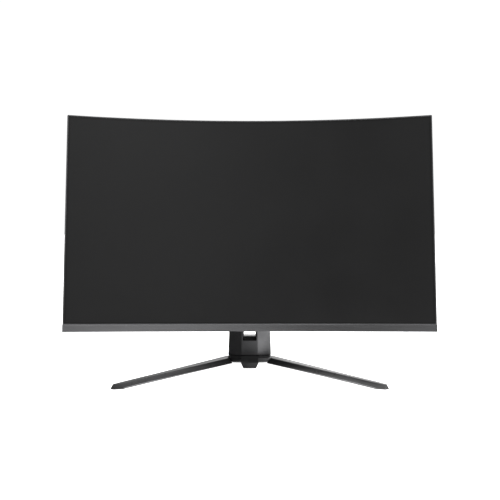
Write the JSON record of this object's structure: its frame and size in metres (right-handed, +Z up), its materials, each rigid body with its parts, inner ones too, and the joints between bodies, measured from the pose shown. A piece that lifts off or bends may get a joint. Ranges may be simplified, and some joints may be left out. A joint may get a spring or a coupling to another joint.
{
  "type": "computer monitor",
  "caption": "Curved widescreen desktop monitor on a faceted column with height and tilt adjustment and a two-legged V-shaped base.",
  "frame": {"origin": "on the desk plane, under the middle of the column, at the centre line of the hub's rubber foot", "axes": "+X to the viewer's right along the screen's width, +Y away from the viewer, so the screen faces -Y, +Z up"},
  "size_m": [0.7104, 0.328, 0.5004],
  "materials": {
    "panel_glass": "anti-glare coated front film of the LCD panel, nearly black when off",
    "brushed_chin": "dark grey, brushed along its length",
    "black_plastic": "fine moulded texture",
    "gloss_trim": "smooth",
    "dark_metal": "dark grey satin powder coat",
    "leg_metal": "dark grey metallic satin",
    "steel": "stamped or turned steel, zinc plated",
    "white_film": "translucent white film and acrylic",
    "circuit_board": "green solder mask",
    "transformer": "yellow tape over the winding",
    "ribbon": "flat flexible cable",
    "rubber": "matt",
    "light_pipe": "clear moulded plastic",
    "glide": "natural acetal"
  },
  "bodies": {
    "stand": {"base_hub": "dark_metal", "left_leg": "leg_metal", "right_leg": "leg_metal", "left_leg_pad": "rubber", "right_leg_pad": "rubber", "hub_foot": "rubber", "left_leg_screw": "steel", "right_leg_screw": "steel", "column_frame": "steel", "column_front": "dark_metal", "column_rear": "dark_metal", "column_cap": "black_plastic", "cable_hole_liner": "black_plastic", "spring_strip": "steel"},
    "base_screw": {"base_screw": "steel"},
    "lift": {"carriage": "steel", "glide_left": "glide", "glide_right": "glide", "lift_arm": "dark_metal", "arm_cover": "black_plastic", "drum_axle": "steel"},
    "spring_drum": {"spring_drum": "steel"},
    "head": {"panel_glass": "panel_glass", "diffuser_sheets": "white_film", "light_guide": "white_film", "reflector_sheet": "white_film", "led_bar": "white_film", "mid_frame": "black_plastic", "panel_chassis": "steel", "bottom_bezel": "brushed_chin", "rear_cover": "black_plastic", "rear_trim": "gloss_trim", "mount_bracket": "steel", "main_board": "circuit_board", "power_board": "circuit_board", "power_transformer": "transformer", "board_shield": "steel", "tcon_board": "circuit_board", "ribbon_cable": "ribbon", "hdmi_port_1": "steel", "hdmi_port_2": "steel", "display_port": "steel", "usb_port": "steel", "audio_jack": "steel", "power_inlet": "black_plastic", "light_pipe": "light_pipe", "joystick_base": "black_plastic", "stand_plate": "dark_metal", "release_spring": "steel", "tilt_bracket": "steel", "tilt_shaft": "steel", "friction_washer_left": "steel", "friction_washer_right": "steel", "disc_spring": "steel", "tilt_nut": "steel"},
    "release_button": {"release_button": "black_plastic"},
    "joystick_gimbal": {"joystick_gimbal": "steel"},
    "joystick_stem": {"joystick_stem": "glide"},
    "joystick_cap": {"joystick_cap": "black_plastic"}
  },
  "joints": [
    {"name": "height_slide", "type": "slide", "parent": "stand", "child": "lift", "axis": [0, 0, 1], "range_m": [0, 0.1], "stiffness_N_per_m": 60, "springref_m": 1.05, "deforming": ["spring_strip"]},
    {"name": "spring_drum_spin", "type": "hinge", "parent": "lift", "child": "spring_drum", "pos_m": [0, -0.0005, 0.262], "axis": [1, 0, 0], "range_deg": [-560, 0]},
    {"name": "tilt", "type": "hinge", "parent": "lift", "child": "head", "pos_m": [0, -0.0477, 0.2752], "axis": [-1, 0, 0], "range_deg": [-12.5, 12.5]},
    {"name": "release_button_press", "type": "slide", "parent": "head", "child": "release_button", "axis": [0, -0.1305, -0.9914], "range_m": [0, 0.003], "stiffness_N_per_m": 800, "springref_m": -0.002, "deforming": ["release_spring"]},
    {"name": "joystick_up_down", "type": "hinge", "parent": "head", "child": "joystick_gimbal", "pos_m": [0.3, -0.14067, 0.13614], "axis": [0.9802, -0.1965, 0.0259], "range_deg": [-7, 7], "stiffness_Nm_per_rad": 0.02},
    {"name": "joystick_left_right", "type": "hinge", "parent": "joystick_gimbal", "child": "joystick_stem", "pos_m": [0.3, -0.14067, 0.13614], "axis": [0, 0.1305, 0.9914], "range_deg": [-7, 7], "stiffness_Nm_per_rad": 0.02},
    {"name": "joystick_press", "type": "slide", "parent": "joystick_stem", "child": "joystick_cap", "axis": [-0.1982, -0.9718, 0.1279], "range_m": [0, 0.0006], "stiffness_N_per_m": 1500, "springref_m": -0.0004},
    {"name": "base_screw_turn", "type": "hinge", "parent": "stand", "child": "base_screw", "pos_m": [0, 0.0215, 0.006], "axis": [0, 0, 1], "continuous": true}
  ],
  "couplings": [
    {"joint": "spring_drum_spin", "follows": "height_slide", "rad_per_m": -94.34}
  ]
}
